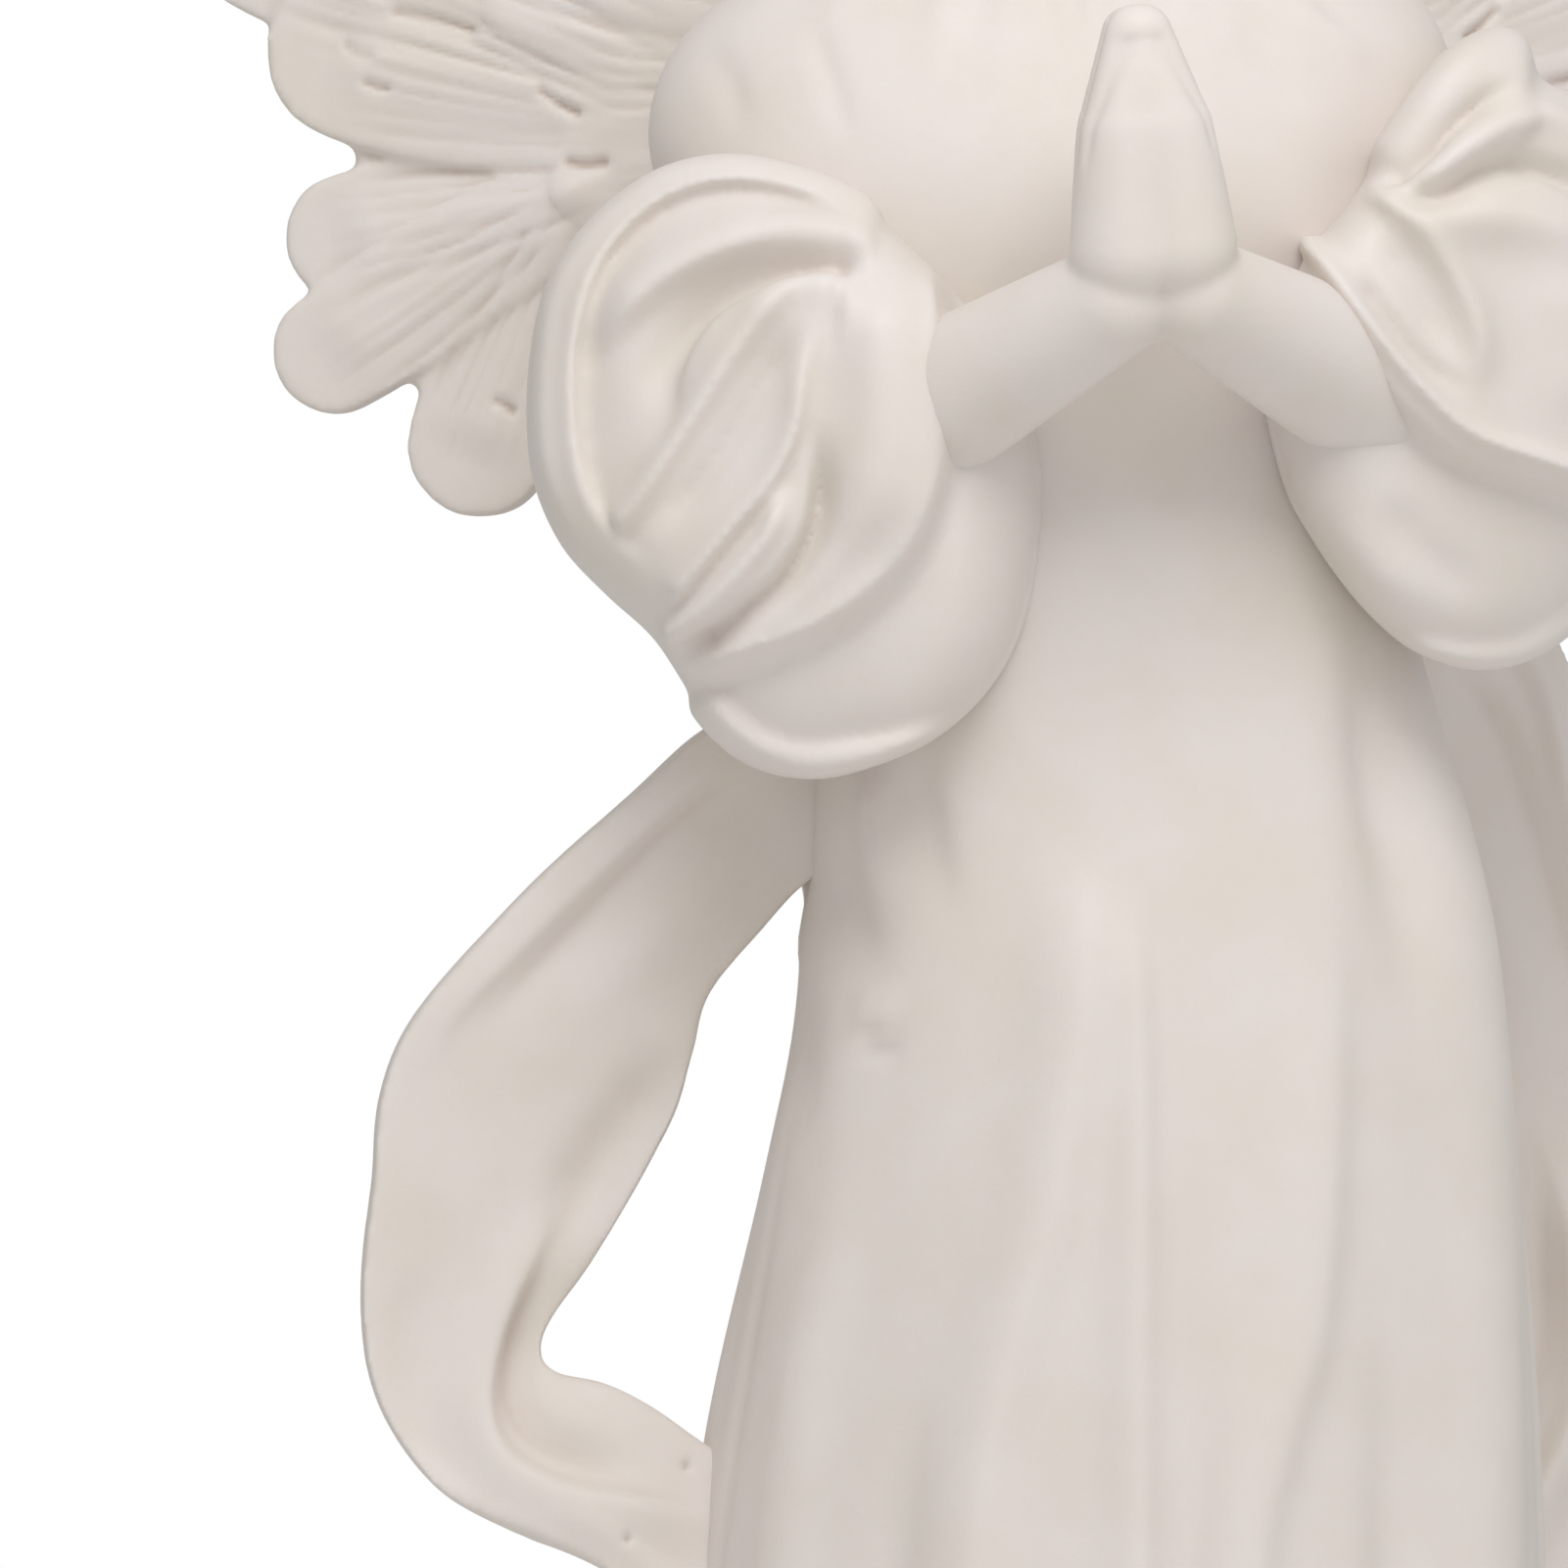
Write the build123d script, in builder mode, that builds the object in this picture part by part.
"""Standing angel figurine in cast resin, hands joined in prayer, assembled from glued castings.

Frame: +Z up, the figure faces -Y, origin at the middle of the underside of the felt pad.
"right" and "left" are the figure's own sides, so right_* pieces lie towards -X.
All sizes are in millimetres.
"""

from build123d import *

import os
from math import cos, radians, sin

os.makedirs("parts", exist_ok=True)

# ---- Driving dimensions ----
GLUE_GAP = 0.05
WALL = 4.5

FELT_THICKNESS = 1.0
FELT_INSET = 1.0
BASE_THICKNESS = 3.0
BASE_INSET = 2.2  # from the hem's outside to the rebate that holds the base plate
HEM_HALF_WIDTH = 40.0
HEM_HALF_DEPTH = 33.0

WAIST_X = 2.5
WAIST_HEIGHT = 115.0
TORSO_LEAN = 5.0  # degrees, towards the figure's right
SHOULDER_HALF_WIDTH = 30.5
CAVITY_TOP = 54.0  # above the waist
NECK_FOOT = 70.0  # above the waist
NECK_Y = 0.5
HEAD_BOW = 12.0  # degrees, the face looks down to the hands
SPIGOT_RADIUS = 4.5
SPIGOT_LENGTH = 7.0

WRIST = (1.5, -33.5, 38.0)  # span, depth, height above the waist
ELBOW = (18.5, -17.0, 30.0)
WRIST_RADIUS = 4.0
FOREARM_RADIUS = 6.2

WING_THICKNESS = 5.0
WING_SWEEP = 18.0  # degrees, the wings fold back from the spine
WING_ROOT_Y = 14.0
WING_ROOT_CENTRE = (18.0, 56.0)  # span from the spine, height above the waist
WING_ROOT_HALF_SPAN = 15.0
WING_ROOT_HALF_HEIGHT = 17.0
WING_PEG_RADIUS = 3.0
WING_PEG_LENGTH = 7.0
WING_PEG_SPOT = (9.0, 18.0, 52.0)  # span, depth, height above the waist
FAN_CENTRE = (22.0, 58.0)  # where the quills meet

SASH_DEPTH = 7.0
SASH_AXIS = (2.5, 1.0)
SASH_TURNS = {-1: 176.0, 1: 35.0}  # degrees from +X of the plane that holds each sash

PIN_RADIUS = 0.8
PIN_LENGTH = 9.0
SLEEVE_PIN_SPOT = (24.0, -7.0, 30.0)  # span, depth, height above the waist
# Sash pins of each side (-1 right, 1 left): distance from the sash axis, height.
SASH_PIN_SPOTS = {
    -1: [(24.5, 114.5), (30.5, 57.5)],
    1: [(23.5, 118.0), (29.7, 48.5)],
}

# Skirt: height, half width, half depth, x and y of the centre.
SKIRT_STATIONS = [
    (FELT_THICKNESS, HEM_HALF_WIDTH, HEM_HALF_DEPTH, 0.0, 0.0),
    (6.0, 39.0, 32.0, 0.2, 0.0),
    (28.0, 35.0, 29.5, 1.0, 0.3),
    (60.0, 31.2, 26.0, 2.5, 1.0),
    (84.0, 28.2, 23.5, 3.5, 1.0),
    (104.0, 26.0, 20.5, 3.8, 1.0),
]

# Torso, along its leaning axis: height above the waist, half width, half depth, x and y.
TORSO_STATIONS = [
    (8.0, 23.5, 18.0, 0.0, 1.0),
    (24.0, 22.0, 18.0, -0.8, -0.5),
    (40.0, 26.0, 19.0, -1.2, -1.5),
    (51.0, SHOULDER_HALF_WIDTH, 17.5, -1.4, -0.5),
    (59.0, SHOULDER_HALF_WIDTH - 2.0, 15.0, -1.4, 0.5),
    (66.0, 20.0, 12.0, -1.0, 1.0),
    (NECK_FOOT, 9.5, 8.5, 0.0, NECK_Y),
]

# Head with its hair, along the neck's axis: height, half width, half depth, y.
HEAD_STATIONS = [
    (0.0, 7.6, 7.0, 0.0),
    (5.0, 6.6, 6.4, 0.0),
    (9.0, 7.6, 8.2, -0.8),
    (13.0, 11.0, 12.5, -0.8),
    (20.0, 14.2, 15.8, 0.0),
    (29.0, 16.0, 17.5, 1.0),
    (37.0, 14.6, 15.8, 1.5),
    (43.0, 9.6, 10.5, 1.5),
    (46.0, 3.5, 4.0, 1.5),
]

# Sleeve, along the torso's axis: height above the waist, half width, half depth, span, y.
SLEEVE_STATIONS = [
    (4.5, 4.0, 3.5, 26.0, -14.0),
    (8.0, 11.5, 9.0, 25.5, -13.5),
    (17.0, 16.0, 14.0, 25.0, -12.0),
    (29.0, 18.0, 17.0, 25.2, -9.5),
    (40.0, 17.0, 15.5, 26.3, -7.0),
    (48.0, 13.0, 10.5, 27.0, -4.0),
    (52.0, 5.0, 4.0, 27.0, -2.5),
]

# Joined hands, along the torso's axis: height above the waist, half width, half depth, y.
HAND_STATIONS = [
    (35.0, 4.0, 3.5, -33.5),
    (39.0, 6.0, 6.0, -34.5),
    (46.0, 6.2, 7.2, -36.0),
    (52.0, 5.2, 7.4, -36.5),
    (57.0, 3.5, 5.6, -37.0),
    (60.8, 1.2, 2.4, -37.2),
]

# Feathers of one wing: angle of the quill above the span, length from the fan's centre, half width.
FEATHERS = [
    (-47.0, 36.0, 5.6),
    (-28.5, 37.5, 6.2),
    (-14.0, 34.0, 5.6),
    (3.0, 30.0, 7.5),
    (20.0, 38.5, 8.0),
    (34.0, 47.0, 7.5),
    (47.0, 52.0, 7.0),
    (59.0, 54.0, 6.5),
    (70.0, 52.0, 6.0),
]

# Edges of each sash in its own upright plane: distance from the sash axis, height.
SASH_OUTER_EDGES = {
    -1: [
        (20.0, 124.0),
        (32.3, 120.0),
        (44.6, 109.5),
        (55.2, 97.5),
        (58.0, 86.0),
        (58.7, 73.0),
        (53.0, 61.9),
        (43.1, 57.5),
        (33.0, 51.0),
        (22.0, 46.0),
    ],
    1: [
        (20.0, 134.0),
        (33.5, 132.0),
        (41.8, 127.0),
        (46.0, 116.0),
        (50.8, 104.0),
        (54.4, 93.0),
        (55.4, 82.0),
        (54.0, 71.0),
        (50.5, 61.0),
        (45.0, 52.0),
        (36.5, 44.5),
        (20.0, 38.0),
    ],
}
SASH_INNER_EDGES = {
    -1: [
        (20.0, 60.0),
        (31.1, 64.5),
        (39.0, 69.8),
        (44.6, 73.5),
        (40.8, 80.2),
        (34.6, 91.0),
        (31.5, 101.0),
        (25.0, 108.5),
        (18.0, 113.0),
    ],
    1: [
        (18.0, 49.0),
        (30.0, 54.5),
        (37.5, 62.5),
        (41.2, 73.0),
        (41.4, 83.0),
        (38.8, 93.0),
        (33.0, 102.5),
        (26.0, 110.0),
        (18.0, 116.0),
    ],
}

lean = radians(TORSO_LEAN)
waist = Plane(
    origin=(WAIST_X, 0, WAIST_HEIGHT),
    x_dir=(cos(lean), 0, sin(lean)),
    z_dir=(-sin(lean), 0, cos(lean)),
)


def on_torso(side, spot):
    """Point of the torso's frame at a (span, depth, height) spot of one side."""
    span, depth, height = spot
    return waist.from_local_coords(Vector(side * span, depth, height))


def upright_plane(turn, base):
    """Plane whose x points a turn in degrees from the base's x, and whose y is the base's z."""
    outward = base.x_dir * cos(radians(turn)) + base.y_dir * sin(radians(turn))
    return Plane(origin=base.origin, x_dir=outward, z_dir=outward.cross(base.z_dir))


# ---- Outer forms that the castings are cut from ----
with BuildPart() as robe_form:
    for height, half_width, half_depth, x_shift, y_shift in SKIRT_STATIONS:
        with BuildSketch(Plane.XY.offset(height)):
            with Locations((x_shift, y_shift)):
                Ellipse(half_width, half_depth)
    for height, half_width, half_depth, x_shift, y_shift in TORSO_STATIONS:
        with BuildSketch(waist.offset(height)):
            with Locations((x_shift, y_shift)):
                Ellipse(half_width, half_depth)
    loft()

with BuildPart() as cavity_form:
    for height, half_width, half_depth, x_shift, y_shift in SKIRT_STATIONS:
        with BuildSketch(Plane.XY.offset(height)):
            with Locations((x_shift, y_shift)):
                Ellipse(half_width - WALL, half_depth - WALL)
    for height, half_width, half_depth, x_shift, y_shift in TORSO_STATIONS:
        if height < CAVITY_TOP:
            with BuildSketch(waist.offset(height)):
                with Locations((x_shift, y_shift)):
                    Ellipse(half_width - 2 * WALL, half_depth - WALL)
    loft()

# ---- Steel wire pins that hold the glued faces in register ----
sleeve_pin_planes = [
    Plane(origin=on_torso(side, SLEEVE_PIN_SPOT), z_dir=waist.x_dir) for side in (-1, 1)
]
sash_planes = {}
sash_pin_planes = []
for side, turn in SASH_TURNS.items():
    sash_planes[side] = upright_plane(turn, Plane(origin=(*SASH_AXIS, 0)))
    for reach, pin_height in SASH_PIN_SPOTS[side]:
        spot = sash_planes[side].from_local_coords(Vector(reach, pin_height, 0))
        sash_pin_planes.append(Plane(origin=spot, z_dir=sash_planes[side].x_dir))

with BuildPart() as sleeve_pins:
    for plane in sleeve_pin_planes:
        with BuildSketch(plane):
            Circle(PIN_RADIUS)
    extrude(amount=PIN_LENGTH / 2, both=True)

with BuildPart() as sash_pins:
    for plane in sash_pin_planes:
        with BuildSketch(plane):
            Circle(PIN_RADIUS)
    extrude(amount=PIN_LENGTH / 2, both=True)

with BuildPart() as pin_bores:
    for plane in sleeve_pin_planes + sash_pin_planes:
        with BuildSketch(plane):
            Circle(PIN_RADIUS + GLUE_GAP)
    extrude(amount=PIN_LENGTH / 2 + GLUE_GAP, both=True)

# ---- Joined hands with both forearms, glued to the chest inside the sleeves ----
with BuildPart() as praying_hands:
    for height, half_width, half_depth, hand_y in HAND_STATIONS:
        with BuildSketch(waist.offset(height)):
            with Locations((0, hand_y)):
                Ellipse(half_width, half_depth)
    loft()
    for side in (-1, 1):
        wrist = on_torso(side, WRIST)
        elbow = on_torso(side, ELBOW)
        with BuildSketch(Plane(origin=wrist, z_dir=elbow - wrist)):
            Circle(WRIST_RADIUS)
        with BuildSketch(Plane(origin=elbow, z_dir=elbow - wrist)):
            Circle(FOREARM_RADIUS)
        loft()
    add(robe_form.part, mode=Mode.SUBTRACT)

# ---- Sleeves, each cut to fit the shoulder and the forearm that leaves it ----
sleeves = {}
for side in (-1, 1):
    with BuildPart() as sleeve:
        for height, half_width, half_depth, span, y_shift in SLEEVE_STATIONS:
            with BuildSketch(waist.offset(height)):
                with Locations((side * span, y_shift)):
                    Ellipse(half_width, half_depth)
        loft()
        add(robe_form.part, mode=Mode.SUBTRACT)
        add(praying_hands.part, mode=Mode.SUBTRACT)
        add(pin_bores.part, mode=Mode.SUBTRACT)
    sleeves[side] = sleeve

# ---- Wings: a fan of feathers on a swept plane, with a round peg for the back ----
wings = {}
wing_pegs = {}
wing_base = Plane(
    origin=waist.from_local_coords(Vector(0, WING_ROOT_Y, 0)), x_dir=waist.x_dir, z_dir=waist.z_dir
)
for side, span_turn in ((-1, 180 - WING_SWEEP), (1, WING_SWEEP)):
    with BuildPart() as wing_peg:
        with BuildSketch(Plane(origin=on_torso(side, WING_PEG_SPOT), z_dir=-waist.y_dir)):
            Circle(WING_PEG_RADIUS)
        extrude(amount=WING_PEG_LENGTH)
    with BuildPart() as wing:
        with BuildSketch(upright_plane(span_turn, wing_base)):
            for quill_angle, length, half_width in FEATHERS:
                along, across = cos(radians(quill_angle)), sin(radians(quill_angle))
                fan_span, fan_height = FAN_CENTRE
                middle = (fan_span + along * length / 2, fan_height + across * length / 2, 0)
                with Locations(Location(middle, (0, 0, quill_angle))):
                    SlotOverall(length + 2 * half_width, 2 * half_width)
            with Locations(WING_ROOT_CENTRE):
                Ellipse(WING_ROOT_HALF_SPAN, WING_ROOT_HALF_HEIGHT)
        extrude(amount=WING_THICKNESS / 2, both=True)
        add(robe_form.part, mode=Mode.SUBTRACT)
        add(wing_peg.part)
    wings[side] = wing
    wing_pegs[side] = wing_peg

# ---- Sashes: a ribbon loop at each side of the skirt ----
sashes = {}
for side, sash_plane in sash_planes.items():
    with BuildPart() as sash:
        with BuildSketch(sash_plane):
            with BuildLine():
                outer_edge = Spline(SASH_OUTER_EDGES[side])
                inner_edge = Spline(SASH_INNER_EDGES[side])
                Line(outer_edge @ 1, inner_edge @ 0)
                Line(inner_edge @ 1, outer_edge @ 0)
            make_face()
        extrude(amount=SASH_DEPTH / 2, both=True)
        add(robe_form.part, mode=Mode.SUBTRACT)
        add(sleeves[side].part, mode=Mode.SUBTRACT)
        add(pin_bores.part, mode=Mode.SUBTRACT)
    sashes[side] = sash

# ---- Head, bowed on its neck, with a spigot for the collar ----
head_foot = waist.from_local_coords(Vector(0, NECK_Y, NECK_FOOT))
neck_plane = Plane(origin=head_foot, x_dir=waist.x_dir, z_dir=waist.z_dir)
head_plane = neck_plane.rotated((HEAD_BOW, 0, 0))

with BuildPart() as spigot:
    with BuildSketch(neck_plane):
        Circle(SPIGOT_RADIUS)
    extrude(amount=-SPIGOT_LENGTH)

with BuildPart() as head:
    for height, half_width, half_depth, y_shift in HEAD_STATIONS:
        with BuildSketch(head_plane.offset(height)):
            with Locations((0, y_shift)):
                Ellipse(half_width, half_depth)
    loft()
    add(robe_form.part, mode=Mode.SUBTRACT)
    add(spigot.part)

# ---- Robe: the form, hollowed from below, with its sockets ----
with BuildPart() as robe_body:
    add(robe_form.part)
    add(cavity_form.part, mode=Mode.SUBTRACT)
    with BuildSketch(Plane.XY.offset(FELT_THICKNESS)):
        Ellipse(HEM_HALF_WIDTH - BASE_INSET, HEM_HALF_DEPTH - BASE_INSET)
    extrude(amount=BASE_THICKNESS, mode=Mode.SUBTRACT)
    add(spigot.part, mode=Mode.SUBTRACT)
    for wing_peg in wing_pegs.values():
        add(wing_peg.part, mode=Mode.SUBTRACT)
    add(pin_bores.part, mode=Mode.SUBTRACT)

# ---- Base plate and felt ----
with BuildPart() as base_plate:
    with BuildSketch(Plane.XY.offset(FELT_THICKNESS)):
        Ellipse(HEM_HALF_WIDTH - BASE_INSET - GLUE_GAP, HEM_HALF_DEPTH - BASE_INSET - GLUE_GAP)
    extrude(amount=BASE_THICKNESS - GLUE_GAP)

with BuildPart() as felt_pad:
    with BuildSketch():
        Ellipse(HEM_HALF_WIDTH - FELT_INSET, HEM_HALF_DEPTH - FELT_INSET)
    extrude(amount=FELT_THICKNESS)

# ---- Write one file per piece ----
pieces = {
    "robe_body": robe_body,
    "base_plate": base_plate,
    "felt_pad": felt_pad,
    "head": head,
    "praying_hands": praying_hands,
    "right_sleeve": sleeves[-1],
    "left_sleeve": sleeves[1],
    "right_wing": wings[-1],
    "left_wing": wings[1],
    "right_sash": sashes[-1],
    "left_sash": sashes[1],
    "sleeve_pins": sleeve_pins,
    "sash_pins": sash_pins,
}
for name, piece in pieces.items():
    piece.part.label = name
    export_step(piece.part, f"parts/{name}.step")
